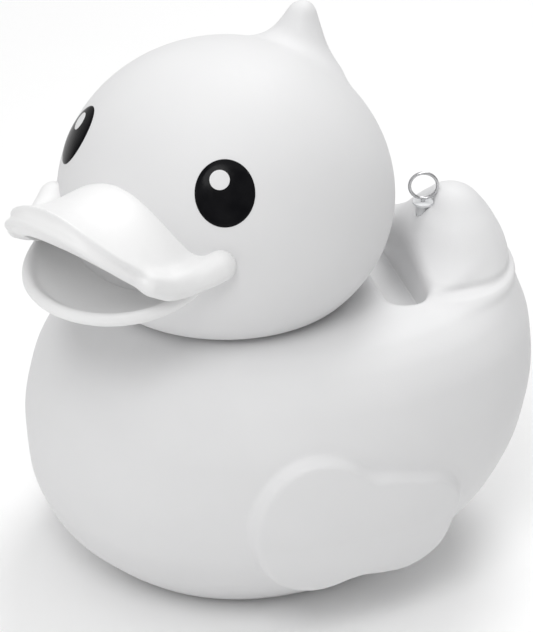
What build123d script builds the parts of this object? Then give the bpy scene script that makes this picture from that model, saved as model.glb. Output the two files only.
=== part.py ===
"""A duck-shaped floating chlorine dispenser, in millimetres.

The duck stands on its flat base at z = 0 and looks along -Y, with its left side at +X.
The origin lies where the upright axis of the tablet well meets the resting plane.
The head and the tablet basket turn about that axis. They are drawn looking straight
ahead, where the vents are shut, and are written turned by HEAD_TURN.
"""

import os
from math import cos, radians, sin

from build123d import *

# Driving dimensions
WALL = 2.5  # moulded shell wall
GAP = 0.3  # clearance between pieces that move on each other
RUN = 0.05  # radial clearance of a running fit
SHY = 0.03  # clearance between pieces that touch
LOOSE = 0.6  # clearance of a piece that only has to pass through
HEAD_TURN = 34.0  # head's stored angle from straight ahead, towards its left
FULL_FLOW = 45.0  # head's angle with the vents fully open; 0 is shut

TABLET_R = 38.0
TABLET_H = 24.0

BASKET_BORE = 39.5
BASKET_R = 41.1
WELL_BORE = 42.0
WELL_R = 44.0

FLANGE_R = 53.0  # vent plate, flush with the resting plane
FLOOR_TOP = 3.6
GROOVE_BOTTOM = 2.4
RECESS_TOP = 4.6
PLATE_TOP = 7.6  # top of the body's base plate
PLATE_INSIDE = (PLATE_TOP, 69, -68, 81)  # hollow's lowest section, in the form of BODY_SECTIONS
SEAM = 66.0  # height where the body's two mouldings are welded
BASKET_BOTTOM = FLOOR_TOP + GAP
BASKET_FLOOR = BASKET_BOTTOM + WALL
SLOT_L, SLOT_W, SLOT_PITCH, SLOT_COLUMNS = 25.0, 5.0, 33.0, 12
SLOT_MIDDLE = 59.0  # height of the middle row of slots
VENT_IN, VENT_OUT, VENT_ARC = 9.0, 36.0, 41.0
PIVOT_R = 3.5

BODY_TOP = 128.0  # flat top of the body round the neck
NECK_BORE = 46.6
SHOULDER_INSIDE = (BODY_TOP - WALL, 62, -56, 108)  # hollow's highest section
SEAL_LEDGE = 110.0
SEAL_T = 1.9
WELL_TOP = 116.0
RIM_BOTTOM = WELL_TOP + GAP
RIM_TOP = 118.8
RIM_R = 46.2
BASKET_TOP = 122.0
COLLAR_R = 43.0
STOP_AT, STOP_HALF, STOP_DEPTH = 180.0, 4.0, 4.0  # angles of the stop, depth of its slot

HEAD_BOTTOM = BODY_TOP + 0.8
HEAD_R = 70.0
HEAD_UP = 65.0
HEAD_DOWN = 60.0
HEAD_Y = -5.0  # head's centre from the neck's axis
HEAD_Z = 169.0
HEAD_PLATE_R = 44.3
HEAD_PLATE_TOP = HEAD_BOTTOM + 2.5
HEAD_SEAT = HEAD_PLATE_TOP + 0.7
HEAD_FLOOR = HEAD_SEAT + 2.5
HEAD_PORT_R = 27.0
SPIGOT_R = BASKET_BORE - GAP
DRIVE_ANGLES = (0, 130, 230)  # uneven, so the head seats one way only
DRIVE_W = 14.0
DRIVE_NOTCH = 8.0  # length of the basket's drive notches along the radius

# Body's horizontal sections: height, half-width, front y, rear y
BODY_SECTIONS = (
    (0, 57, -57, 66),
    (4, 64, -64, 75),
    (12, 73.5, -73, 87.5),
    (28, 86.5, -84.5, 104),
    (46, 94, -90, 117),
    (66, 97, -91, 125.5),
    (88, 95, -87, 129),
    (106, 88, -78.5, 128),
    (118, 78.5, -69, 123.5),
    (125, 67.5, -60, 115),
    (BODY_TOP, 55, -52, 98),
)
# Tail's horizontal sections, in the same form
TAIL_SECTIONS = (
    (112, 56, 56, 126),
    (124, 45, 65, 122.5),
    (136, 33, 72, 119),
    (146, 22, 79.5, 113.5),
    (154, 12, 87, 107),
    (158, 6, 91, 101.5),
)
# Wing pad's sections: x, half-length along y, half-height
WING_SECTIONS = ((80, 46, 36), (90, 45, 35), (96.5, 38, 29), (100, 27, 20), (101.5, 12, 9))
WING_Y = 26.0
WING_Z = 57.0
# Crest's sections: height above the head's centre, radius, distance behind it
CREST_SECTIONS = (
    (48, 21, 36.5),
    (54, 14.5, 41.5),
    (59, 10.5, 44.8),
    (63, 8, 46.6),
    (67, 6, 47.8),
    (71, 3, 48.4),
)
# Upper bill's sections: distance in front of the head's centre, half-width, height of the
# side edges above the centre, height of the ridge, thickness
UPPER_BILL = (
    (44, 46, 9, 27, 12),
    (54, 47.5, 9, 27.5, 12),
    (64, 43.5, 6, 27.5, 11),
    (76, 40.5, 6.5, 27, 10),
    (88, 36.5, 12, 28, 9),
    (98, 30.5, 21, 30.5, 8),
    (104.5, 20, 29.5, 33, 7.5),
)
BILL_EDGE = 7.0  # height of the bill's side edges
# Lower bill's sections: height above the head's centre, half-width, half-length
LOWER_BILL = ((-9, 42, 42), (-14, 41, 41), (-19, 36, 36), (-23, 26, 26), (-26, 12, 12))
LOWER_BILL_AHEAD = 61.0
LOWER_BILL_WALL = 4.0
# Bill pegs: distance from the middle, height above the head's centre
UPPER_PEG = (22, 17)
LOWER_PEG = (16, -17)
BILL_PEG_R = 2.5

EYE_AZIMUTH = 41.5
EYE_ELEVATION = 29.0
EYE_HALF_W = 11.8
EYE_HALF_H = 13.4
EYE_PROUD = 0.8
EYE_SUNK = 1.2
EYE_PEG_R = 2.0
EYE_DEPTH = 8.0  # how deep the eye tools reach below the skin
CLIP_R, CLIP_T = 5.0, 0.8
CLIP_SET_IN = 3.0  # bill clips stand this far inside the curved wall
PEG_IN, PEG_OUT = 8.0, -2.0  # bill pegs' ends, as depths below the head's skin

NOTCH_HALF_W = 40.0  # finger notch behind the neck
NOTCH_FRONT = 57.0
NOTCH_REAR = 72.5
NOTCH_DEPTH = 12.0
NOTCH_CORNER = 6.0

TETHER_Y = 83.0
RING_Z = 160.0
RING_R = 5.95
RING_TURN = 75.0  # angle of the ring's plane from across the body
WIRE_R = 0.7
STEM_R = 0.9
BUSH_R = 2.6
BUSH_BOTTOM = 141.0
BUSH_HEAD_R, BUSH_HEAD_T = 4.4, 1.0
NUT_R, NUT_T = 2.4, 2.3
BOSS_TOP = 151.6
BOSS_R = 5.5
BOSS_DEPTH = 7.6
BOSS_POCKET_R = 5.0  # pocket in the tail that shows the bush and the stem

SCREW_R = 1.7
SCREW_HEAD_R = 2.9
SCREW_SINK = 2.3  # depth of the vent plate's screw pockets
SCREW_BOSS_R = 3.4
WELL_BOSS_TOP = 17.6
HEAD_BOSS_H = 8.0
BOSS_END = 2.0  # solid end of a screw boss beyond its hole
LAND_R = 3.6
WELL_SCREWS, WELL_SCREW_CIRCLE = 6, 48.8
HEAD_SCREWS, HEAD_SCREW_CIRCLE = 4, 32.0
BALLAST_IN, BALLAST_OUT = 54.0, 62.5
BALLAST_BOTTOM, BALLAST_TOP = 10.0, 16.0
BALLAST_SCREWS, BALLAST_CIRCLE = 3, 58.25

HEAD_CENTRE = Vector(0, HEAD_Y, HEAD_Z)
BELOW, ABOVE = -1.0, 260.0  # heights beyond the object, for cuts that run through

os.makedirs("parts", exist_ok=True)


def write(piece, label, turned=0.0):
    """Writes one finished piece, turned about the neck's axis."""
    part = piece.part.rotate(Axis.Z, turned)
    part.label = label
    export_step(part, f"parts/{label}.step")


def egg_loft(sections, inset=0.0, mode=Mode.ADD):
    """Lofts horizontal ellipses given as height, half-width, front y and rear y."""
    rings = []
    for height, half, front, rear in sections:
        with BuildSketch(Plane.XY.offset(height)) as ring:
            with Locations((0, (front + rear) / 2)):
                Ellipse(half - inset, (rear - front) / 2 - inset)
        rings.append(ring.sketch)
    loft(sections=rings, mode=mode)


def head_egg(grow=0.0, mode=Mode.ADD):
    """The head's plain egg, grown by a distance."""
    across, up, down = HEAD_R + grow, HEAD_UP + grow, HEAD_DOWN + grow
    with BuildSketch(Plane.XZ.offset(-HEAD_Y)) as profile:
        with BuildLine():
            EllipticalCenterArc((0, HEAD_Z), across, up, start_angle=0, arc_size=90)
            EllipticalCenterArc((0, HEAD_Z), across, down, start_angle=270, arc_size=90)
            Line((0, HEAD_Z + up), (0, HEAD_Z - down))
        make_face()
    revolve(profile.sketch, axis=Axis(HEAD_CENTRE, (0, 0, 1)), mode=mode)


def disc(radius, low, high, mode=Mode.ADD, centre=(0, 0)):
    """An upright cylinder between two heights."""
    with BuildSketch(Plane.XY.offset(low)) as face:
        with Locations(centre):
            Circle(radius)
    extrude(face.sketch, amount=high - low, mode=mode)


def ring(inner, outer, low, high, mode=Mode.ADD):
    """An upright tube between two heights."""
    with BuildSketch(Plane.XY.offset(low)) as face:
        Circle(outer)
        Circle(inner, mode=Mode.SUBTRACT)
    extrude(face.sketch, amount=high - low, mode=mode)


def discs(radius, low, high, circle, count, mode=Mode.ADD):
    """Upright cylinders spaced evenly on a circle."""
    with BuildSketch(Plane.XY.offset(low)) as faces:
        with PolarLocations(circle, count, start_angle=30):
            Circle(radius)
    extrude(faces.sketch, amount=high - low, mode=mode)


def screw_holes(circle, count, low, high):
    """Cuts clear holes for a ring of screws."""
    discs(SCREW_R + SHY, low, high, circle, count, Mode.SUBTRACT)


def tether_disc(radius, low, high, mode=Mode.ADD):
    """An upright cylinder on the tether's axis."""
    disc(radius, low, high, mode, centre=(0, TETHER_Y))


def sector(inner, outer, start, arc, low, high, mode=Mode.ADD):
    """An upright block between two radii and two angles."""
    with BuildSketch(Plane.XY.offset(low)) as face:
        with BuildLine():
            near = CenterArc((0, 0), inner, start, arc)
            far = CenterArc((0, 0), outer, start, arc)
            Line(near @ 0, far @ 0)
            Line(near @ 1, far @ 1)
        make_face()
    extrude(face.sketch, amount=high - low, mode=mode)


def vents(low, high, turned):
    """Cuts the four vent windows through a floor."""
    for quarter in range(4):
        start = quarter * 90 + turned - VENT_ARC / 2
        sector(VENT_IN, VENT_OUT, start, VENT_ARC, low, high, Mode.SUBTRACT)


def eye_plane(side):
    """A plane on the head's surface at an eye, looking outwards, with y upwards."""
    azimuth, elevation = radians(EYE_AZIMUTH), radians(EYE_ELEVATION)
    out = Vector(side * sin(azimuth) * cos(elevation), -cos(azimuth) * cos(elevation))
    out += Vector(0, 0, sin(elevation))
    origin = HEAD_CENTRE + Vector(out.X * HEAD_R, out.Y * HEAD_R, out.Z * HEAD_UP)
    normal = Vector(out.X / HEAD_R, out.Y / HEAD_R, out.Z / HEAD_UP)
    return Plane(origin=origin, x_dir=Vector(0, 0, 1).cross(normal), z_dir=normal)


def eye_prism(side, grow, low, high, mode):
    """The eye's oval outline, run straight between two depths."""
    with BuildSketch(eye_plane(side).offset(low)) as oval:
        Ellipse(EYE_HALF_W + grow, EYE_HALF_H + grow)
    extrude(oval.sketch, amount=high - low, mode=mode)


def eye_pin(side, radius, low, high, mode=Mode.ADD):
    """A round pin square to the head at an eye."""
    with BuildSketch(eye_plane(side).offset(low)) as face:
        Circle(radius)
    extrude(face.sketch, amount=high - low, mode=mode)


def bill_pins(peg, radius, rear, front, mode=Mode.ADD):
    """A pair of pins along y that hold a bill, between two distances ahead of the head."""
    with BuildSketch(Plane.XZ.offset(rear - HEAD_Y)) as faces:
        with Locations((-peg[0], HEAD_Z + peg[1]), (peg[0], HEAD_Z + peg[1])):
            Circle(radius)
    extrude(faces.sketch, amount=front - rear, mode=mode)


def head_reach(peg, depth):
    """Distance ahead of the head's centre to its skin, less a depth, at a bill pin."""
    upright = HEAD_UP if peg[1] > 0 else HEAD_DOWN
    across, upright = (HEAD_R - depth), (upright - depth)
    return across * (1 - (peg[0] / across) ** 2 - (peg[1] / upright) ** 2) ** 0.5


def screws(under_head, tip, head_t, circle, count):
    """Pan-headed screws that point up (tip above) or down (tip below)."""
    way = 1 if tip > under_head else -1
    discs(SCREW_R, min(under_head, tip), max(under_head, tip), circle, count)
    outer = under_head - way * head_t
    discs(SCREW_HEAD_R, min(under_head, outer), max(under_head, outer), circle, count)


# Body: a hollow float with a neck opening, a base opening, wings and a tail
inside = [section for section in BODY_SECTIONS if PLATE_TOP < section[0] < SEAL_LEDGE + 10]
inside = [PLATE_INSIDE, *inside, SHOULDER_INSIDE]
tail_inside = [section for section in TAIL_SECTIONS if section[0] < BOSS_TOP - WALL]
with BuildPart() as body_shell:
    egg_loft(BODY_SECTIONS)
    egg_loft(TAIL_SECTIONS)
    for side in (-1, 1):
        pads = []
        for x, along, tall in WING_SECTIONS:
            with BuildSketch(Plane.YZ.offset(side * x)) as pad:
                with Locations((WING_Y, WING_Z)):
                    Ellipse(along, tall)
            pads.append(pad.sketch)
        loft(sections=pads)
    tether_disc(BOSS_R, BOSS_TOP - BOSS_DEPTH, BOSS_TOP)
    egg_loft(inside, WALL, Mode.SUBTRACT)
    egg_loft(tail_inside, WALL + 1, Mode.SUBTRACT)
    # neck collar with the seal's ledge
    disc(NECK_BORE + WALL, SEAL_LEDGE - 5, BODY_TOP - WALL / 2)
    disc(WELL_R + LOOSE, SEAL_LEDGE - 6, SEAL_LEDGE + 1, Mode.SUBTRACT)
    disc(NECK_BORE, SEAL_LEDGE, ABOVE, Mode.SUBTRACT)
    # finger notch with its own walls
    for grow, mode in ((WALL, Mode.ADD), (0, Mode.SUBTRACT)):
        floor = BODY_TOP - NOTCH_DEPTH - grow
        ceiling = BODY_TOP - WALL / 2 if grow else ABOVE
        with BuildSketch(Plane.XY.offset(floor)) as notch:
            with Locations((0, (NOTCH_FRONT + NOTCH_REAR) / 2)):
                length = NOTCH_REAR - NOTCH_FRONT + 2 * grow
                RectangleRounded(2 * (NOTCH_HALF_W + grow), length, NOTCH_CORNER + grow)
        extrude(notch.sketch, amount=ceiling - floor, mode=mode)
    # base opening, flange recess and screw bosses
    disc(WELL_R + LOOSE, BELOW, PLATE_TOP + 1, Mode.SUBTRACT)
    disc(FLANGE_R + 0.4, BELOW, RECESS_TOP, Mode.SUBTRACT)
    discs(SCREW_BOSS_R, RECESS_TOP, WELL_BOSS_TOP, WELL_SCREW_CIRCLE, WELL_SCREWS)
    screw_holes(WELL_SCREW_CIRCLE, WELL_SCREWS, BELOW, WELL_BOSS_TOP - BOSS_END)
    # lands that carry the ballast ring
    discs(LAND_R, PLATE_TOP - 1, BALLAST_BOTTOM, BALLAST_CIRCLE, BALLAST_SCREWS)
    screw_holes(BALLAST_CIRCLE, BALLAST_SCREWS, PLATE_TOP - 2, BALLAST_BOTTOM + 1)
    # pocket and hole for the tether bush
    tether_disc(BOSS_POCKET_R, BOSS_TOP, ABOVE, Mode.SUBTRACT)
    tether_disc(BUSH_R + SHY, BUSH_BOTTOM - WALL, ABOVE, Mode.SUBTRACT)
for half, side in (("lower", Keep.BOTTOM), ("upper", Keep.TOP)):
    with BuildPart() as moulding:
        add(body_shell.part)
        split(bisect_by=Plane.XY.offset(SEAM + (SHY if half == "upper" else 0)), keep=side)
    write(moulding, f"body_{half}")

# Vent plate: closes the base, and lets water in through its windows
with BuildPart() as vent_plate:
    disc(FLANGE_R, 0, FLOOR_TOP)
    vents(BELOW, FLOOR_TOP + 1, 0)
    disc(PIVOT_R, FLOOR_TOP - 1, BASKET_FLOOR - 0.2)
    screw_holes(WELL_SCREW_CIRCLE, WELL_SCREWS, BELOW, FLOOR_TOP + 1)
    discs(SCREW_HEAD_R + 0.1, BELOW, SCREW_SINK, WELL_SCREW_CIRCLE, WELL_SCREWS, Mode.SUBTRACT)
    ring(WELL_BORE - SHY, WELL_R + SHY, GROOVE_BOTTOM, FLOOR_TOP + 1, Mode.SUBTRACT)
write(vent_plate, "vent_plate")

# Well tube: stands in the vent plate's groove, with a slot for the basket's stop
with BuildPart() as well_tube:
    ring(WELL_BORE, WELL_R, GROOVE_BOTTOM + SHY, WELL_TOP)
    slot_start = STOP_AT - STOP_HALF - 1
    slot_arc = FULL_FLOW + 2 * STOP_HALF + 2
    slot_bottom = WELL_TOP - STOP_DEPTH
    sector(WELL_BORE - 1, WELL_R + 1, slot_start, slot_arc, slot_bottom, WELL_TOP + 1, Mode.SUBTRACT)
write(well_tube, "well_tube")

with BuildPart() as base_gasket:
    disc(FLANGE_R, FLOOR_TOP + SHY, RECESS_TOP - SHY)
    disc(WELL_R + SHY, BELOW, ABOVE, Mode.SUBTRACT)
    screw_holes(WELL_SCREW_CIRCLE, WELL_SCREWS, BELOW, ABOVE)
write(base_gasket, "base_gasket")

with BuildPart() as well_screws:
    screws(SCREW_SINK - SHY, WELL_BOSS_TOP - BOSS_END - LOOSE, 1.5, WELL_SCREW_CIRCLE, WELL_SCREWS)
write(well_screws, "well_screws")

with BuildPart() as neck_seal:
    ring(WELL_R + SHY, NECK_BORE - SHY, SEAL_LEDGE + SHY, SEAL_LEDGE + SEAL_T)
write(neck_seal, "neck_seal")

with BuildPart() as ballast_ring:
    ring(BALLAST_IN, BALLAST_OUT, BALLAST_BOTTOM + SHY, BALLAST_TOP)
    screw_holes(BALLAST_CIRCLE, BALLAST_SCREWS, BELOW, ABOVE)
write(ballast_ring, "ballast_ring")

with BuildPart() as ballast_screws:
    screws(BALLAST_TOP + SHY, PLATE_TOP - 1, 1.6, BALLAST_CIRCLE, BALLAST_SCREWS)
write(ballast_screws, "ballast_screws")

with BuildPart() as tether_bush:
    tether_disc(BUSH_HEAD_R, BOSS_TOP + SHY, BOSS_TOP + BUSH_HEAD_T)
    tether_disc(BUSH_R, BUSH_BOTTOM, BOSS_TOP + BUSH_HEAD_T / 2)
    tether_disc(STEM_R + RUN, BELOW, ABOVE, Mode.SUBTRACT)
write(tether_bush, "tether_bush")

# Tether eye: a wire ring on a stem that swivels in the bush
with BuildPart() as tether_eye:
    across = Vector(1, 0, 0).rotate(Axis.Z, RING_TURN)
    with BuildSketch(Plane(origin=(0, TETHER_Y, RING_Z), x_dir=across, z_dir=(0, 0, 1))) as wire:
        with Locations((RING_R, 0)):
            Circle(WIRE_R)
    ring_axis = Axis((0, TETHER_Y, RING_Z), across.cross(Vector(0, 0, 1)))
    revolve(wire.sketch, axis=ring_axis)
    tether_disc(STEM_R, BUSH_BOTTOM - 2 * NUT_T, RING_Z - RING_R)
write(tether_eye, "tether_eye")

with BuildPart() as tether_nut:
    tether_disc(NUT_R, BUSH_BOTTOM - GAP - NUT_T, BUSH_BOTTOM - GAP)
    tether_disc(STEM_R + SHY, BELOW, ABOVE, Mode.SUBTRACT)
write(tether_nut, "tether_nut")

# Flow shutter: the basket's floor, whose windows turn over the vent plate's
with BuildPart() as flow_shutter:
    disc(BASKET_BORE - SHY, BASKET_BOTTOM, BASKET_FLOOR)
    vents(BELOW, ABOVE, FULL_FLOW)
    disc(PIVOT_R + RUN, BELOW, ABOVE, Mode.SUBTRACT)
write(flow_shutter, "flow_shutter", HEAD_TURN)

# Tablet basket: a slotted tube with a rim, a stop and notches for the head
with BuildPart() as tablet_basket:
    ring(BASKET_BORE, BASKET_R, BASKET_BOTTOM, BASKET_TOP)
    ring(BASKET_BORE, RIM_R, RIM_BOTTOM, RIM_TOP)
    ring(BASKET_BORE, COLLAR_R, RIM_TOP - 1, BASKET_TOP)
    stop_start, stop_bottom = STOP_AT - STOP_HALF, slot_bottom + LOOSE
    sector(BASKET_R - 0.5, WELL_R - GAP, stop_start, 2 * STOP_HALF, stop_bottom, RIM_BOTTOM + 1)
    # slots through the wall
    with BuildSketch(Plane.YZ) as slots:
        with GridLocations(0, SLOT_PITCH, 1, 3):
            SlotOverall(SLOT_L, SLOT_W, rotation=90)
    for step in range(SLOT_COLUMNS):
        turned = Plane.XY.offset(SLOT_MIDDLE).rotated((0, 0, 360 / SLOT_COLUMNS * step)) * slots.sketch
        extrude(turned, amount=BASKET_R + 1, mode=Mode.SUBTRACT)
    # notches that the head's lugs drop into
    for angle in DRIVE_ANGLES:
        with BuildSketch(Plane.XY.offset(RIM_TOP)) as notch:
            with PolarLocations(BASKET_R, 1, start_angle=angle):
                Rectangle(DRIVE_NOTCH, DRIVE_W)
        extrude(notch.sketch, amount=BASKET_TOP, mode=Mode.SUBTRACT)
write(tablet_basket, "tablet_basket", HEAD_TURN)

for place, label in enumerate(("tablet_lower", "tablet_middle", "tablet_upper")):
    bottom = BASKET_FLOOR + SHY + place * (TABLET_H + SHY)
    with BuildPart() as tablet:
        disc(TABLET_R, bottom, bottom + TABLET_H)
        chamfer(tablet.edges().filter_by(GeomType.CIRCLE), 1.5)
    write(tablet, label, HEAD_TURN)

# Head shell: a hollow egg with a crest, eye pockets and holes for the pegs
with BuildPart() as head_cavity:
    head_egg(-WALL)
    split(bisect_by=Plane.XY.offset(HEAD_FLOOR), keep=Keep.TOP)
with BuildPart() as crest:
    tufts = []
    for height, radius, behind in CREST_SECTIONS:
        with BuildSketch(Plane.XY.offset(HEAD_Z + height)) as tuft:
            with Locations((0, HEAD_Y + behind)):
                Circle(radius)
        tufts.append(tuft.sketch)
    loft(sections=tufts)
with BuildPart() as eye_ovals:
    for side in (-1, 1):
        eye_prism(side, SHY, -EYE_DEPTH, EYE_DEPTH, Mode.ADD)
with BuildPart() as eye_pockets:
    head_egg(EYE_PROUD + 2)
    head_egg(-EYE_SUNK - SHY, Mode.SUBTRACT)
    add(eye_ovals.part, mode=Mode.INTERSECT)
with BuildPart() as head_shell:
    head_egg()
    split(bisect_by=Plane.XY.offset(HEAD_BOTTOM), keep=Keep.TOP)
    add(crest.part)
    add(head_cavity.part, mode=Mode.SUBTRACT)
    add(eye_pockets.part, mode=Mode.SUBTRACT)
    disc(HEAD_PLATE_R + GAP, HEAD_BOTTOM - 1, HEAD_SEAT, Mode.SUBTRACT)
    disc(HEAD_PORT_R, HEAD_SEAT - 1, HEAD_FLOOR + 1, Mode.SUBTRACT)
    discs(SCREW_BOSS_R, HEAD_FLOOR - 1, HEAD_FLOOR + HEAD_BOSS_H, HEAD_SCREW_CIRCLE, HEAD_SCREWS)
    screw_holes(HEAD_SCREW_CIRCLE, HEAD_SCREWS, BELOW, HEAD_FLOOR + HEAD_BOSS_H - BOSS_END)
    for side in (-1, 1):
        eye_pin(side, EYE_PEG_R + SHY, -EYE_DEPTH, EYE_DEPTH, Mode.SUBTRACT)
    for peg in (UPPER_PEG, LOWER_PEG):
        bill_pins(peg, BILL_PEG_R + SHY, head_reach(peg, 3 * WALL), HEAD_R + 1, Mode.SUBTRACT)
write(head_shell, "head_shell", HEAD_TURN)

# Eyes: oval domes that follow the head, each on a peg
for side, label in ((1, "left_eye"), (-1, "right_eye")):
    with BuildPart() as eye:
        head_egg(EYE_PROUD)
        head_egg(-EYE_SUNK, Mode.SUBTRACT)
        eye_prism(side, 0, -EYE_DEPTH, EYE_DEPTH, Mode.INTERSECT)
        eye_pin(side, EYE_PEG_R, 1 - EYE_DEPTH, -EYE_SUNK)
    write(eye, label, HEAD_TURN)

with BuildPart() as eye_clips:
    for side in (-1, 1):
        eye_pin(side, CLIP_R, -WALL - 0.25 - CLIP_T, -WALL - 0.25)
        eye_pin(side, EYE_PEG_R + SHY, -EYE_DEPTH, 0, Mode.SUBTRACT)
write(eye_clips, "eye_clips", HEAD_TURN)

# Upper bill: a broad arched lip that rises towards its tip
with BuildPart() as upper_bill:
    arches = []
    for ahead, half, edge, ridge, thick in UPPER_BILL:
        with BuildSketch(Plane.XZ.offset(ahead - HEAD_Y)) as arch:
            with BuildLine():
                top = ThreePointArc((-half, HEAD_Z + edge), (0, HEAD_Z + ridge), (half, HEAD_Z + edge))
                low = HEAD_Z + edge - BILL_EDGE
                under = ThreePointArc((-half, low), (0, HEAD_Z + ridge - thick), (half, low))
                Line(top @ 0, under @ 0)
                Line(top @ 1, under @ 1)
            make_face()
        arches.append(arch.sketch)
    loft(sections=arches)
    head_egg(SHY, Mode.SUBTRACT)
    bill_pins(UPPER_PEG, BILL_PEG_R, head_reach(UPPER_PEG, PEG_IN), head_reach(UPPER_PEG, PEG_OUT))
write(upper_bill, "upper_bill", HEAD_TURN)

# Lower bill: a shallow dish
dish_y = HEAD_Y - LOWER_BILL_AHEAD
dish = [(HEAD_Z + up, half, dish_y - along, dish_y + along) for up, half, along in LOWER_BILL]
with BuildPart() as mouth_hollow:
    egg_loft([(HEAD_Z, *dish[0][1:])] + dish[:-1], LOWER_BILL_WALL)
    head_egg(LOWER_BILL_WALL, Mode.SUBTRACT)
with BuildPart() as lower_bill:
    egg_loft(dish)
    add(mouth_hollow.part, mode=Mode.SUBTRACT)
    head_egg(SHY, Mode.SUBTRACT)
    bill_pins(LOWER_PEG, BILL_PEG_R, head_reach(LOWER_PEG, PEG_IN), head_reach(LOWER_PEG, PEG_OUT))
write(lower_bill, "lower_bill", HEAD_TURN)

with BuildPart() as bill_clips:
    for peg in (UPPER_PEG, LOWER_PEG):
        seat = head_reach(peg, WALL) - CLIP_SET_IN
        bill_pins(peg, CLIP_R, seat - CLIP_T, seat)
        bill_pins(peg, BILL_PEG_R + SHY, seat - CLIP_R, seat + CLIP_R, Mode.SUBTRACT)
write(bill_clips, "bill_clips", HEAD_TURN)

# Head base: closes the head, and its spigot drops into the basket to turn it
with BuildPart() as head_base:
    disc(HEAD_PLATE_R, HEAD_BOTTOM, HEAD_PLATE_TOP)
    disc(SPIGOT_R, WELL_TOP, HEAD_BOTTOM + 1)
    for angle in DRIVE_ANGLES:
        with BuildSketch(Plane.XY.offset(RIM_TOP + GAP)) as lug:
            with PolarLocations(SPIGOT_R, 1, start_angle=angle):
                Rectangle(2 * (COLLAR_R - SPIGOT_R), DRIVE_W - 2 * GAP)
        extrude(lug.sketch, amount=HEAD_BOTTOM - RIM_TOP)
    disc(SPIGOT_R - WALL, BELOW, HEAD_BOTTOM, Mode.SUBTRACT)
    screw_holes(HEAD_SCREW_CIRCLE, HEAD_SCREWS, BELOW, ABOVE)
write(head_base, "head_base", HEAD_TURN)

with BuildPart() as head_gasket:
    ring(HEAD_PORT_R, HEAD_PLATE_R, HEAD_PLATE_TOP + SHY, HEAD_SEAT - SHY)
    screw_holes(HEAD_SCREW_CIRCLE, HEAD_SCREWS, BELOW, ABOVE)
write(head_gasket, "head_gasket", HEAD_TURN)

with BuildPart() as head_screws:
    screws(HEAD_BOTTOM - SHY, HEAD_FLOOR + 5, 1.6, HEAD_SCREW_CIRCLE, HEAD_SCREWS)
write(head_screws, "head_screws", HEAD_TURN)
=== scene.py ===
"""The look of the duck-shaped floating chlorine dispenser, built round its CAD frame."""

from math import cos, pi, radians, sin

import bpy
import numpy as np
import openvdb
from mathutils import Matrix, Vector


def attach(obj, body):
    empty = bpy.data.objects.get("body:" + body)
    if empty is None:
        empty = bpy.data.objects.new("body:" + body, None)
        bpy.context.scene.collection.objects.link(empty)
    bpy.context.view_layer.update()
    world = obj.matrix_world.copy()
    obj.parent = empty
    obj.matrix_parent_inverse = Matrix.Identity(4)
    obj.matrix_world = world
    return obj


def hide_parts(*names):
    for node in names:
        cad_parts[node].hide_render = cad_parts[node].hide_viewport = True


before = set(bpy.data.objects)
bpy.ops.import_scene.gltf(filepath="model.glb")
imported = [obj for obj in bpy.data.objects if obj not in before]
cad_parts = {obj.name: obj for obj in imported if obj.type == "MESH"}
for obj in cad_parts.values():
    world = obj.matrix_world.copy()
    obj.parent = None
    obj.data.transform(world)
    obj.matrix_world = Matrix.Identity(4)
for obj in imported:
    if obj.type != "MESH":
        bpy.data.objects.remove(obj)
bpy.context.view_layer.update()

# Shapes are worked out in millimetres and become metres when a mesh is made.
MM = 0.001
COARSE = 1.0  # how much wider the shape grids are spaced
HEAD_TURN = 34.0  # degrees, the head's stored angle towards the duck's left
HEAD_Y, HEAD_Z = -5.0, 169.0  # head's centre before it is turned
HEAD_R, HEAD_UP, HEAD_DOWN = 70.0, 65.0, 60.0
WALL = 2.5
BODY_TOP = 128.0
HEAD_BOTTOM = 128.8
PLATE_RECESS_R, PLATE_SEAT, HEAD_FLOOR, HEAD_PORT_R = 44.6, 132.0, 134.5, 27.0
NECK_BORE, WELL_HOLE, FLANGE_HOLE = 46.6, 44.6, 53.4
SEAL_LEDGE, FLANGE_TOP, PLATE_TOP = 110.0, 4.6, 7.6
TETHER_Y, TETHER_BOSS_R, BOSS_TOP, BUSH_HOLE = 83.0, 5.0, 151.6, 2.63
# Screw bosses inside the shells: radius, foot, top, radius of their circle, how many
WELL_BOSSES = (3.4, 0, 17.6, 48.8, 6)
BALLAST_BOSSES = (3.6, 0, 10, 58.25, 3)
HEAD_BOSSES = (3.4, 130, 142.5, 32, 4)
COLLAR_FOOT = 104.0
# Finger notch behind the neck
NOTCH_Y, NOTCH_HALF_W, NOTCH_HALF_L, NOTCH_CORNER, NOTCH_FLOOR = 65.5, 40.0, 8.5, 7.0, 116.0
# Tail: its cut-off foot and top, and the fillet that joins it to the body
TAIL_FOOT, TAIL_TOP, TAIL_FILLET = 100.0, 158.5, 14.0
TAIL_SINK, TAIL_SINK_TOP = 0.4, 132.0  # how fast it sinks into the body below a height
# Wing relief: how proud it stands, how much more for each millimetre lower down, and its edge's width
WING_PROUD, WING_MORE, WING_LEVEL, WING_EDGE = 4.4, 0.12, 54.0, 3.6

# Horizontal sections: height, half-width, front y, rear y
BODY_SECTIONS = (
    (0, 56, -56, 65),
    (4, 61, -61, 71.5),
    (12, 70, -70, 84),
    (28, 85, -83.5, 103),
    (46, 94, -90, 117),
    (66, 97, -91, 125.5),
    (88, 95, -87, 129),
    (106, 88, -78.5, 127.5),
    (118, 78.5, -69, 122),
    (125, 67.5, -60, 113),
    (129, 55, -50, 98),
)
TAIL_SECTIONS = (
    (98, 62, 50, 120),
    (112, 55, 56, 122),
    (124, 45, 65, 120.5),
    (136, 33, 72, 118),
    (146, 23, 79.5, 113),
    (154, 13, 86, 107),
    (160, 7, 89, 102),
)
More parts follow.
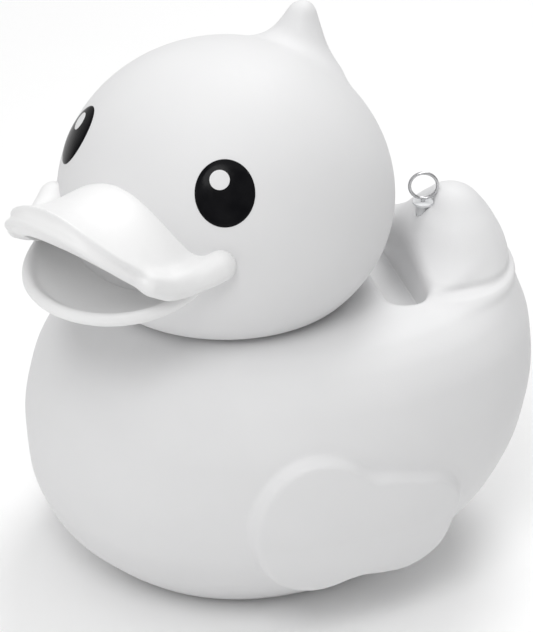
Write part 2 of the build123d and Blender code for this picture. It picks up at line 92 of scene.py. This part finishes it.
# Crest's sections: height above the head's centre, radius, distance behind it
CREST_SECTIONS = (
    (44, 25, 34),
    (48, 21, 36.5),
    (54, 14.5, 41.5),
    (59, 10.5, 44.8),
    (63, 8, 46.6),
    (67, 6, 47.8),
    (71, 4.6, 48.4),
)
CREST_TOP = 70.8
# Upper bill's plan: a superellipse this far ahead of the head's centre
BILL_AHEAD, BILL_LENGTH, BILL_HALF, BILL_POWER = 64.5, 42.0, 40.5, 2.55
# Upper bill's heights over the head's centre: distance ahead, lip's foot, lip's top, middle
BILL_HEIGHTS = (
    (40, -5, 5, 27.5),
    (65, -4.8, 4.6, 27.5),
    (76, -2.5, 5.7, 27),
    (83.6, 2, 9, 27.5),
    (90, 6.8, 13.2, 28.5),
    (95.5, 11.9, 18.1, 30),
    (100, 16.8, 23.4, 31.5),
    (103.3, 21.2, 28.4, 33),
    (105.5, 24.7, 32.6, 34),
    (106.5, 26, 34, 34.8),
)
BILL_ROOF = 6.0  # thickness of the bill's middle
LIP_THICK, BILL_RISE = 8.0, 15.0  # solid lip's width, and how far inside it the roof rises
LIP_LEAN = 2.4  # how far the lip's foot stands in under its top
BEAD_R, BEAD_UP = 1.6, 1.2  # bead round the lip's foot
# Cove between the bead and the lip's top edge: radius and height, as shares of the lip's height
COVE_R, COVE_UP = 0.44, 0.6
COVE_END, COVE_FADE = 80.0, 13.0  # how far ahead it has faded out, and over what length it does
LIP_STEPS = 81
# Cheek lobe at the bill's root: distance ahead, distance from the middle, height, radius
LOBE = (
    (84, 37.5, 5.3, 3),
    (76, 39.3, 2.2, 4.2),
    (67, 41.3, 1.8, 5.2),
    (60, 43.6, 3, 6),
    (54.5, 45.7, 4.8, 6.2),
)
BILL_STEP, BILL_OFF = 0.65, 1.2  # grid step, and how far the bills stand off the head's skin
# Lower bill: a round dish whose rim dips towards the front
DISH_AHEAD, DISH_R = 60.3, 39.4
DISH_DEPTH, DISH_THICK, DISH_RIM = 10.0, 3.8, 2.3

EYE_AZIMUTH, EYE_ELEVATION = 41.5, 29.0
EYE_HALF_W, EYE_HALF_H, EYE_PROUD, EYE_SUNK = 11.8, 13.3, 0.8, 1.0
GLINT_AT, GLINT_R, GLINT_PROUD, GLINT_SUNK = (-2, 5), 3.9, 0.12, 0.1


# ---------------------------------------------------------------- shapes as distance fields


def curve(points, at):
    """A smooth curve without overshoot through (x, y) points."""
    x, y = np.array(points, float).T
    step = np.diff(x)
    slope = np.diff(y) / step
    tangent = np.zeros_like(x)
    same_way = slope[:-1] * slope[1:] > 0
    mean = 2 * slope[:-1] * slope[1:] / np.where(same_way, slope[:-1] + slope[1:], 1)
    tangent[1:-1] = np.where(same_way, mean, 0)
    tangent[0], tangent[-1] = slope[0], slope[-1]
    at = np.clip(at, x[0], x[-1])
    i = np.clip(np.searchsorted(x, at) - 1, 0, len(x) - 2)
    t = (at - x[i]) / step[i]
    rise = y[i] * (1 + 2 * t) * (1 - t) ** 2 + y[i + 1] * t * t * (3 - 2 * t)
    return rise + step[i] * (tangent[i] * t * (1 - t) ** 2 - tangent[i + 1] * t * t * (1 - t))


def column(table, which):
    """(first value, chosen value) pairs out of a table's rows."""
    return [(row[0], row[which]) for row in table]


class Grid:
    """A block of points, in millimetres, on which distance fields are worked out."""

    def __init__(self, low, high, step):
        self.low, self.step = np.array(low, float), step * COARSE
        axes = [np.arange(lo, hi + self.step, self.step) for lo, hi in zip(low, high)]
        self.shape = tuple(len(axis) for axis in axes)
        self.x = axes[0][:, None, None].astype(np.float32)
        self.y = axes[1][None, :, None].astype(np.float32)
        self.z = axes[2][None, None, :].astype(np.float32)

    def true_distance(self, field):
        """Scales a field so that it changes by one for each millimetre."""
        field = np.broadcast_to(field, self.shape).astype(np.float32)
        slope = sum(g * g for g in np.gradient(field, self.step))
        return field / np.sqrt(np.maximum(slope, 1e-6))

    def tube(self, x, y, radius, low, high):
        """An upright cylinder between two heights."""
        side = np.hypot(self.x - x, self.y - y) - radius
        return np.maximum(side, np.maximum(low - self.z, self.z - high))

    def tubes(self, radius, low, high, circle, count):
        """Tubes evenly spaced on a circle about the well's axis."""
        turns = [radians(30 + 360 * i / count) for i in range(count)]
        tubes = [self.tube(circle * cos(t), circle * sin(t), radius, low, high) for t in turns]
        return np.minimum.reduce(tubes)

    def head(self):
        """The head's egg before it is turned."""
        dx, dy, dz = self.x, self.y - HEAD_Y, self.z - HEAD_Z
        upright = np.where(dz > 0, HEAD_UP, HEAD_DOWN)
        ratio = np.sqrt((dx * dx + dy * dy) / HEAD_R**2 + (dz / upright) ** 2)
        return self.true_distance((ratio - 1) * HEAD_DOWN)

    def sections(self, table, power):
        """A loft of horizontal superellipses."""
        heights = self.z.ravel()
        half, front, rear = (curve(column(table, i), heights)[None, None, :] for i in (1, 2, 3))
        middle, length = (front + rear) / 2, (rear - front) / 2
        across, along = np.abs(self.x / half), np.abs((self.y - middle) / length)
        ratio = (across**power + along**power) ** (1 / power)
        return self.true_distance((ratio - 1) * np.minimum(half, length))

    def strand(self, path, radii):
        """A round strand of changing thickness along a path."""
        away = np.full(self.shape, 1e3, np.float32)
        for p, q, r, s in zip(path[:-1], path[1:], radii[:-1], radii[1:]):
            run = q - p
            from_p = (self.x - p[0], self.y - p[1], self.z - p[2])
            t = (from_p[0] * run[0] + from_p[1] * run[1] + from_p[2] * run[2]) / (run @ run)
            t = np.clip(t, 0, 1)
            dx, dy, dz = (c - p[k] - t * run[k] for k, c in enumerate((self.x, self.y, self.z)))
            away = np.minimum(away, np.sqrt(dx * dx + dy * dy + dz * dz) - (r + (s - r) * t))
        return away


def union(a, b, fillet):
    """Joins two fields with a fillet."""
    mix = np.clip(0.5 + 0.5 * (b - a) / fillet, 0, 1)
    return b + (a - b) * mix - fillet * mix * (1 - mix)


def cut(a, b, rounding):
    """Takes field b out of field a, with the edge rounded."""
    return -union(-a, b, rounding)


def keep(a, b, rounding):
    """What lies in both fields, with the edge rounded."""
    return -union(-a, -b, rounding)


def rounded_box(u, v, half_u, half_v, corner):
    """Distance to a rectangle with round corners, in a plane."""
    du, dv = np.abs(u) - half_u + corner, np.abs(v) - half_v + corner
    outside = np.hypot(np.maximum(du, 0), np.maximum(dv, 0))
    return outside + np.minimum(np.maximum(du, dv), 0) - corner


def sample(field, at):
    """The field's value at points given in grid steps."""
    limit = np.array(field.shape) - 2
    base = np.clip(np.floor(at).astype(int), 0, limit)
    t = at - base
    total = 0
    for corner in range(8):
        step = np.array([corner >> 2 & 1, corner >> 1 & 1, corner & 1])
        weight = np.prod(np.where(step, t, 1 - t), axis=1)
        total = total + weight * field[tuple((base + step).T)]
    return total


def mesh_piece(name, points, faces, material, body):
    """Makes an object from points in metres and lets it ride on a body."""
    mesh = bpy.data.meshes.new(name)
    mesh.from_pydata(points.tolist(), [], faces.tolist() if hasattr(faces, "tolist") else faces)
    mesh.validate()
    mesh.shade_smooth()
    mesh.materials.append(material)
    piece = bpy.data.objects.new(name, mesh)
    bpy.context.scene.collection.objects.link(piece)
    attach(piece, body)
    return piece


def turned(points, degrees):
    """Points turned about the neck's axis."""
    c, s = cos(radians(degrees)), sin(radians(degrees))
    return points @ np.array([[c, s, 0], [-s, c, 0], [0, 0, 1]])


def field_piece(name, grid, field, material, body, turn=0.0):
    """Skins a distance field with an even mesh of quads."""
    volume = openvdb.FloatGrid(3 * grid.step)
    volume.copyFromArray(np.clip(field, -3 * grid.step, 3 * grid.step).astype(np.float32))
    points, quads = volume.convertToQuads(isovalue=0)
    field = np.asarray(field, np.float32)
    points = points.astype(float)
    for _ in range(3):
        value = sample(field, points)
        slopes = [sample(field, points + arm) - sample(field, points - arm) for arm in np.eye(3) * 0.6]
        slope = np.stack([rise / 1.2 for rise in slopes], 1)
        move = value[:, None] * slope / np.maximum((slope**2).sum(1), 0.05)[:, None]
        points -= np.clip(move, -0.5, 0.5)
    points = turned(points * grid.step + grid.low, turn) * MM
    corners = points[quads]
    normal = np.cross(corners[:, 2] - corners[:, 0], corners[:, 3] - corners[:, 1])
    if (normal * corners.mean(1)).sum() < 0:
        quads = quads[:, ::-1]
    piece = mesh_piece(name, points, quads, material, body)
    smooth = piece.modifiers.new("even_out", "SMOOTH")
    smooth.factor, smooth.iterations = 0.5, 3
    return piece


# ---------------------------------------------------------------- materials


def material(name, colour, roughness, **more):
    """A principled material with its nodes to hand."""
    made = bpy.data.materials.new(name)
    made.use_nodes = True
    shader = made.node_tree.nodes["Principled BSDF"]
    shader.inputs["Base Color"].default_value = (*colour, 1)
    shader.inputs["Roughness"].default_value = roughness
    for key, value in more.items():
        shader.inputs[key.replace("_", " ")].default_value = value
    return made, made.node_tree, shader


def noise(tree, scale, detail=3.0, rough=0.5):
    """Noise that is fixed to the object, by how many waves fit in a metre."""
    place = tree.nodes.new("ShaderNodeTexCoord")
    made = tree.nodes.new("ShaderNodeTexNoise")
    made.inputs["Scale"].default_value = scale
    made.inputs["Detail"].default_value = detail
    made.inputs["Roughness"].default_value = rough
    tree.links.new(place.outputs["Object"], made.inputs["Vector"])
    return made.outputs["Fac"]


def spread(tree, value, low, high):
    """Maps noise onto a range of numbers."""
    made = tree.nodes.new("ShaderNodeMapRange")
    made.inputs["From Min"].default_value, made.inputs["From Max"].default_value = 0.3, 0.7
    made.inputs["To Min"].default_value, made.inputs["To Max"].default_value = low, high
    tree.links.new(value, made.inputs["Value"])
    return made.outputs["Result"]


def vary_colour(tree, shader, value, low, high):
    """Blends between two colours by a noise."""
    ramp = tree.nodes.new("ShaderNodeValToRGB")
    ramp.color_ramp.elements[0].position, ramp.color_ramp.elements[1].position = 0.35, 0.65
    ramp.color_ramp.elements[0].color = (*low, 1)
    ramp.color_ramp.elements[1].color = (*high, 1)
    tree.links.new(value, ramp.inputs["Fac"])
    tree.links.new(ramp.outputs["Color"], shader.inputs["Base Color"])


def bump(tree, shader, heights):
    """Stacks bumps given as (noise, strength, height in metres)."""
    normal = None
    for value, strength, distance in heights:
        made = tree.nodes.new("ShaderNodeBump")
        made.inputs["Strength"].default_value = strength
        made.inputs["Distance"].default_value = distance
        tree.links.new(value, made.inputs["Height"])
        if normal:
            tree.links.new(normal, made.inputs["Normal"])
        normal = made.outputs["Normal"]
    tree.links.new(normal, shader.inputs["Normal"])


def moulded(name, colour, roughness, tint=0.985, grain=0.00006):
    """Moulded plastic: a fine matt grain over a barely uneven wall, with faint cloudiness."""
    made, tree, shader = material(name, colour, roughness, Specular_IOR_Level=0.35)
    darker = tuple(channel * tint for channel in colour)
    vary_colour(tree, shader, noise(tree, 28, 4), darker, colour)
    uneven = spread(tree, noise(tree, 350, 4), roughness - 0.05, roughness + 0.07)
    tree.links.new(uneven, shader.inputs["Roughness"])
    bump(tree, shader, [(noise(tree, 45, 2), 0.25, 0.0006), (noise(tree, 1900, 2), 0.5, grain)])
    return made


def glossy_black(name):
    """Hard gloss enamel with a faint orange peel and fine wear."""
    made, tree, shader = material(name, (0.006, 0.006, 0.007), 0.16, Specular_IOR_Level=0.06)
    vary_colour(tree, shader, noise(tree, 120), (0.004, 0.004, 0.005), (0.008, 0.008, 0.009))
    tree.links.new(spread(tree, noise(tree, 900, 5), 0.12, 0.22), shader.inputs["Roughness"])
    bump(tree, shader, [(noise(tree, 260, 2), 0.2, 0.00008)])
    return made


def rubber(name):
    made, tree, shader = material(name, (0.03, 0.03, 0.03), 0.7)
    vary_colour(tree, shader, noise(tree, 200), (0.022, 0.022, 0.022), (0.04, 0.04, 0.04))
    bump(tree, shader, [(noise(tree, 1500), 0.5, 0.00008)])
    return made


def metal(name, colour, roughness, grain):
    made, tree, shader = material(name, colour, roughness, Metallic=1.0)
    vary_colour(tree, shader, noise(tree, 300), tuple(c * 0.9 for c in colour), colour)
    uneven = spread(tree, noise(tree, 800, 5), roughness * 0.7, roughness * 1.3)
    tree.links.new(uneven, shader.inputs["Roughness"])
    bump(tree, shader, [(noise(tree, 1200, 4), 0.4, grain)])
    return made


def pressed_powder(name):
    """Chlorine tablet: chalky, pitted, with pale blotches."""
    made, tree, shader = material(name, (0.85, 0.86, 0.84), 0.9)
    vary_colour(tree, shader, noise(tree, 90, 6), (0.76, 0.77, 0.75), (0.88, 0.89, 0.87))
    bump(tree, shader, [(noise(tree, 700, 8, 0.7), 0.8, 0.0004), (noise(tree, 90, 3), 0.5, 0.0008)])
    return made


shell_grey = moulded("shell_grey", (0.775, 0.775, 0.78), 0.55)
bill_white = moulded("bill_white", (0.87, 0.87, 0.87), 0.42, tint=0.98)
inner_white = moulded("inner_white", (0.78, 0.79, 0.8), 0.5)
basket_blue = moulded("basket_blue", (0.12, 0.3, 0.52), 0.45, tint=0.85)
eye_black = glossy_black("eye_black")
seal_rubber = rubber("seal_rubber")
stainless = metal("stainless", (0.6, 0.6, 0.61), 0.28, 0.00003)
ballast_iron = metal("ballast_iron", (0.16, 0.16, 0.17), 0.6, 0.0003)
chlorine = pressed_powder("chlorine")


# ---------------------------------------------------------------- body


def wing_outline(grid):
    """Distance, in side view, to a wing of a round front lobe and a smaller rear one."""
    y, z = grid.y, grid.z
    lobe = np.hypot((y - 10.5) / 29, (z - 60) / 34) * 30 - 30
    lean = radians(-16)
    along = (y - 44) * cos(lean) + (z - 54) * sin(lean)
    across = (z - 54) * cos(lean) - (y - 44) * sin(lean)
    rear = rounded_box(along, across, 30, 26, 20)
    return union(lobe, rear, 6)


def body_skin():
    grid = Grid((-106, -96, -5), (106, 136, 166), 1.0)
    skin = grid.sections(BODY_SECTIONS, 2.08)
    skin = keep(skin, -grid.z, 3)
    skin = keep(skin, grid.z - BODY_TOP, 4)
    tail = keep(grid.sections(TAIL_SECTIONS, 2.1), grid.z - TAIL_TOP, 6)
    # the tail sinks into the body lower down, so that the fillet raises no ridge there
    tail = tail + TAIL_SINK * np.clip(TAIL_SINK_TOP - grid.z, 0, TAIL_SINK_TOP - TAIL_FOOT)
    skin = union(skin, np.maximum(tail, TAIL_FOOT - grid.z), TAIL_FILLET)
    raised = np.clip(-wing_outline(grid) / WING_EDGE + 0.2, 0, 1)
    relief = WING_PROUD + WING_MORE * np.clip(WING_LEVEL - grid.z, 0, 30)
    skin = skin - relief * raised * raised * (3 - 2 * raised) * (np.abs(grid.x) > 30)
    # hollow, but for the neck's collar, the base plate, the screw bosses and the notch's walls
    notch = rounded_box(grid.x, grid.y - NOTCH_Y, NOTCH_HALF_W, NOTCH_HALF_L, NOTCH_CORNER)
    notch = np.maximum(notch, NOTCH_FLOOR - grid.z)
    solid_parts = [
        PLATE_TOP - grid.z,
        grid.tube(0, 0, NECK_BORE + WALL, COLLAR_FOOT, 140),
        grid.tubes(*WELL_BOSSES),
        grid.tubes(*BALLAST_BOSSES),
        notch - WALL,
        grid.tube(0, TETHER_Y, TETHER_BOSS_R, 144, 170),
    ]
    cavity = skin + WALL
    for part in solid_parts:
        cavity = np.maximum(cavity, -part)
    skin = cut(skin, cavity, 0.3)
    skin = cut(skin, notch, 4)
    skin = cut(skin, grid.tube(0, 0, WELL_HOLE, -20, 200), 0.6)
    skin = cut(skin, grid.tube(0, 0, NECK_BORE, SEAL_LEDGE, 200), 1.6)
    skin = cut(skin, grid.tube(0, 0, FLANGE_HOLE, -20, FLANGE_TOP), 0.6)
    skin = cut(skin, grid.tube(0, TETHER_Y, TETHER_BOSS_R, BOSS_TOP, 180), 1.2)
    skin = cut(skin, grid.tube(0, TETHER_Y, BUSH_HOLE, 120, 180), 0.3)
    piece = field_piece("body_skin", grid, skin, shell_grey, "float")
    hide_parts("body_lower", "body_upper")


# ---------------------------------------------------------------- head


def head_skin():
    grid = Grid((-74, -79, 125), (74, 69, 250), 0.9)
    skin = grid.head()
    heights = grid.z.ravel() - HEAD_Z
    radius = curve(column(CREST_SECTIONS, 1), heights)[None, None, :]
    behind = curve(column(CREST_SECTIONS, 2), heights)[None, None, :]
    crest = grid.true_distance(np.hypot(grid.x, grid.y - HEAD_Y - behind) - radius)
    crest = keep(crest, grid.z - HEAD_Z - CREST_TOP, 5)
    crest = np.maximum(crest, HEAD_Z + 42 - grid.z)
    skin = union(skin, crest, 7)
    skin = keep(skin, HEAD_BOTTOM - grid.z, 2)
    cavity = np.maximum(skin + WALL, HEAD_FLOOR - grid.z)
    cavity = np.maximum(cavity, -grid.tubes(*HEAD_BOSSES))
    skin = cut(skin, cavity, 0.3)
    skin = cut(skin, grid.tube(0, 0, PLATE_RECESS_R, 100, PLATE_SEAT), 0.5)
    skin = cut(skin, grid.tube(0, 0, HEAD_PORT_R, 100, HEAD_FLOOR + 1), 0.5)
    piece = field_piece("head_skin", grid, skin, shell_grey, "head", HEAD_TURN)
    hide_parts("head_shell")


def bill_half(ahead):
    """Half-width of the upper bill's plan."""
    reach = np.clip((ahead - BILL_AHEAD) / BILL_LENGTH, 0, 1) ** BILL_POWER
    return np.maximum(BILL_HALF * (1 - reach) ** (1 / BILL_POWER), 3)


def lip_path(out, up):
    """A line round the upper bill, out from its outline and up from the lip's foot.

    The lip's height at each of its points comes with it.
    """
    turns = np.linspace(-pi / 2, pi / 2, LIP_STEPS)
    power = 2 / BILL_POWER
    far = BILL_AHEAD + (BILL_LENGTH + out) * np.cos(turns) ** power
    side = (BILL_HALF + out) * np.sign(turns) * np.abs(np.sin(turns)) ** power
    foot, edge = (curve(column(BILL_HEIGHTS, i), far) for i in (1, 2))
    return np.stack([side, HEAD_Y - far, HEAD_Z + foot + up], 1), edge - foot


def upper_bill():
    grid = Grid((-56, HEAD_Y - 111, HEAD_Z - 9), (56, HEAD_Y - 38, HEAD_Z + 40), BILL_STEP)
    ahead = HEAD_Y - grid.y
    heights = (curve(column(BILL_HEIGHTS, i), ahead.ravel()) for i in (1, 2, 3))
    foot, edge, middle = (row[None, :, None] for row in heights)
    dome = 1 - np.clip(np.abs(grid.x) / bill_half(ahead), 0, 1) ** 2
    top = edge + (middle - edge) * dome**1.2
    length = np.maximum(ahead - BILL_AHEAD, 0) / BILL_LENGTH
    plan = (np.abs(grid.x / BILL_HALF) ** BILL_POWER + length**BILL_POWER) ** (1 / BILL_POWER)
    plan = grid.true_distance((plan - 1) * BILL_HALF)
    inside = np.clip((-plan - LIP_THICK) / BILL_RISE, 0, 1)
    under = np.minimum(foot + (middle - BILL_ROOF - foot) * inside * (2 - inside), top - 3)
    plan = plan + LIP_LEAN * np.clip((HEAD_Z + edge - grid.z) / (edge - foot), 0, 1)
    bill = keep(plan, grid.true_distance(grid.z - HEAD_Z - top), 4)
    bill = keep(bill, grid.true_distance(HEAD_Z + under - grid.z), 1.5)
    # a cove and a fine bead run round the lip
    path, height = lip_path(0, 0)
    path[:, 2] += COVE_UP * height
    fade = np.clip((HEAD_Y - path[:, 1] - COVE_END) / COVE_FADE, 0.05, 1)
    bill = cut(bill, grid.strand(path, COVE_R * height * fade), 1.2)
    path, _ = lip_path(-BEAD_R, BEAD_UP)
    bill = union(bill, grid.strand(path, np.full(LIP_STEPS, BEAD_R)), 1.2)
    for side in (-1, 1):
        lobe = np.array([(side * across, HEAD_Y - far, HEAD_Z + up) for far, across, up, _ in LOBE])
        bill = union(bill, grid.strand(lobe, [row[3] for row in LOBE]), 6)
    bill = cut(bill, grid.head() + BILL_OFF, 0.5)
    piece = field_piece("upper_bill_skin", grid, bill, bill_white, "head", HEAD_TURN)
    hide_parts("upper_bill")


def dish_rim(ahead):
    """Height of the lower bill's rim over the head's centre."""
    reach = (ahead - DISH_AHEAD) / DISH_R
    return 5.2 * reach**2 - 13.5 * reach - 4


def lower_bill():
    grid = Grid((-46, HEAD_Y - 106, HEAD_Z - 32), (46, HEAD_Y - 40, HEAD_Z + 6), BILL_STEP)
    ahead = HEAD_Y - grid.y
    ratio = np.hypot(grid.x, ahead - DISH_AHEAD) / DISH_R
    height = HEAD_Z + dish_rim(ahead) - DISH_DEPTH * (1 - np.clip(ratio, 0, 1) ** 2)
    sheet = np.abs(grid.true_distance(grid.z - height)) - DISH_THICK / 2
    dish = np.maximum(sheet, (ratio - 1) * DISH_R)
    turns = np.linspace(-1.9, 1.9, LIP_STEPS)
    far = DISH_AHEAD + DISH_R * np.cos(turns)
    rim = np.stack([DISH_R * np.sin(turns), HEAD_Y - far, HEAD_Z + dish_rim(far)], 1)
    dish = union(dish, grid.strand(rim, np.full(LIP_STEPS, DISH_RIM)), 2.5)
    dish = cut(dish, grid.head() + BILL_OFF, 0.5)
    piece = field_piece("lower_bill_skin", grid, dish, bill_white, "head", HEAD_TURN)
    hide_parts("lower_bill")


def on_head(u, v, side, lift):
    """Points on the head at u along and v up from an eye's middle, lifted off it."""
    azimuth, elevation = radians(EYE_AZIMUTH) * side, radians(EYE_ELEVATION)
    out = np.array([sin(azimuth) * cos(elevation), -cos(azimuth) * cos(elevation), sin(elevation)])
    size = np.array([HEAD_R, HEAD_R, HEAD_UP])
    centre = out * size
    normal = out / size
    normal /= np.linalg.norm(normal)
    level = np.cross([0, 0, 1], normal)
    level /= np.linalg.norm(level)
    up = np.cross(normal, level)
    flat = centre + np.outer(u, level) + np.outer(v, up)
    # drop each point onto the egg along the eye's own direction
    a = ((normal / size) ** 2).sum()
    b = (flat * normal / size**2).sum(1)
    c = ((flat / size) ** 2).sum(1) - 1
    flat = flat + np.outer((-b + np.sqrt(np.maximum(b * b - a * c, 0))) / a, normal)
    skin_normal = flat / size**2
    skin_normal /= np.linalg.norm(skin_normal, axis=1)[:, None]
    return flat + skin_normal * lift[:, None] + [0, HEAD_Y, HEAD_Z]


def dome(name, side, centre, half_w, half_h, base, proud, sunk, finish, slot):
    """A thin oval dome that follows the head, with rounded edges and a flat back."""
    rings, spokes = 22, 96
    turns = np.arange(spokes) * 2 * pi / spokes
    u, v, lift = [centre[0]], [centre[1]], [base + proud]
    for ring in range(1, rings + 1):
        reach = sin(0.5 * pi * ring / rings)
        u += list(centre[0] + reach * half_w * np.cos(turns))
        v += list(centre[1] + reach * half_h * np.sin(turns))
        lift += [base + proud * (1 - reach**6) ** 0.5] * spokes
    u += list(centre[0] + half_w * np.cos(turns))
    v += list(centre[1] + half_h * np.sin(turns))
    lift += [base - sunk] * spokes
    u.append(centre[0])
    v.append(centre[1])
    lift.append(base - sunk)
    points = turned(on_head(np.array(u), np.array(v), side, np.array(lift)), HEAD_TURN) * MM
    faces = []
    for spoke in range(spokes):
        after = (spoke + 1) % spokes
        faces.append((0, 1 + spoke, 1 + after))
        for ring in range(rings):
            row = 1 + ring * spokes
            faces.append((row + spoke, row + spokes + spoke, row + spokes + after, row + after))
        row = 1 + rings * spokes
        faces.append((row + spoke, len(points) - 1, row + after))
    return mesh_piece(name, points, faces, finish, "head")


def eyes():
    for side, label in ((1, "left_eye"), (-1, "right_eye")):
        size = (EYE_HALF_W, EYE_HALF_H, 0, EYE_PROUD, EYE_SUNK)
        eye = dome(label + "_dome", side, (0, 0), *size, eye_black, "eye_black")
        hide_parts(label)
        size = (GLINT_R, GLINT_R, EYE_PROUD, GLINT_PROUD, GLINT_SUNK)
        dome(label + "_glint", side, GLINT_AT, *size, shell_grey, "shell_grey")


body_skin()
head_skin()
upper_bill()
lower_bill()
eyes()

# CAD pieces that keep their shape
FINISHES = {
    inner_white: ("vent_plate", "well_tube", "tether_bush", "head_base"),
    basket_blue: ("tablet_basket", "flow_shutter"),
    chlorine: ("tablet_lower", "tablet_middle", "tablet_upper"),
    seal_rubber: ("base_gasket", "neck_seal", "head_gasket"),
    stainless: (
        "well_screws",
        "ballast_screws",
        "head_screws",
        "eye_clips",
        "bill_clips",
        "tether_eye",
        "tether_nut",
    ),
    ballast_iron: ("ballast_ring",),
}
for finish, nodes in FINISHES.items():
    for node in nodes:
        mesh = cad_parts[node].data
        mesh.materials.clear()
        mesh.materials.append(finish)


# ---------------------------------------------------------------- floor, light and camera


def floor():
    bpy.ops.mesh.primitive_plane_add(size=12)
    ground = bpy.context.object
    ground.name = "floor"
    made, tree, shader = material("floor_white", (0.965, 0.965, 0.965), 0.7)
    vary_colour(tree, shader, noise(tree, 3), (0.96, 0.96, 0.96), (0.97, 0.97, 0.97))
    ground.data.materials.append(made)


def area_light(name, place, aim, size, power):
    data = bpy.data.lights.new(name, "AREA")
    data.shape, data.size, data.energy = "DISK", size, power
    lamp = bpy.data.objects.new(name, data)
    lamp.location = place
    lamp.rotation_euler = (Vector(aim) - Vector(place)).to_track_quat("-Z", "Y").to_euler()
    bpy.context.scene.collection.objects.link(lamp)


def camera():
    """A long lens from the duck's left and a little above."""
    azimuth, elevation, distance = radians(75), radians(30), 1.1
    back = Vector((sin(azimuth) * cos(elevation), -cos(azimuth) * cos(elevation), sin(elevation)))
    right = Vector((cos(azimuth), sin(azimuth), 0))
    up = back.cross(right)
    middle = Vector((0, 0.012, 0.1))
    aim = middle + right * 0.0019 + up * 0.006
    data = bpy.data.cameras.new("camera")
    data.sensor_fit, data.sensor_width, data.lens = "HORIZONTAL", 36, 172.9
    data.clip_start = 0.05
    eye = bpy.data.objects.new("camera", data)
    eye.location = middle + back * distance
    eye.rotation_euler = (eye.location - aim).to_track_quat("Z", "Y").to_euler()
    bpy.context.scene.collection.objects.link(eye)
    bpy.context.scene.camera = eye


floor()
area_light("overhead", (0.1, 0.1, 1.7), (0, 0, 0.1), 1.8, 8.5)
area_light("key", (1.0, -0.6, 1.6), (0, 0, 0.1), 0.8, 10)
area_light("side", (0.3, -1.8, 0.6), (0, 0, 0.1), 1.2, 3.2)
area_light("back", (-0.9, 0.6, 1.5), (0, 0, 0.1), 0.8, 9.5)
world = bpy.data.worlds.new("studio")
world.use_nodes = True
world.node_tree.nodes["Background"].inputs["Color"].default_value = (1, 1, 1, 1)
world.node_tree.nodes["Background"].inputs["Strength"].default_value = 0.41
bpy.context.scene.world = world
bpy.context.scene.view_settings.view_transform = "Standard"
camera()
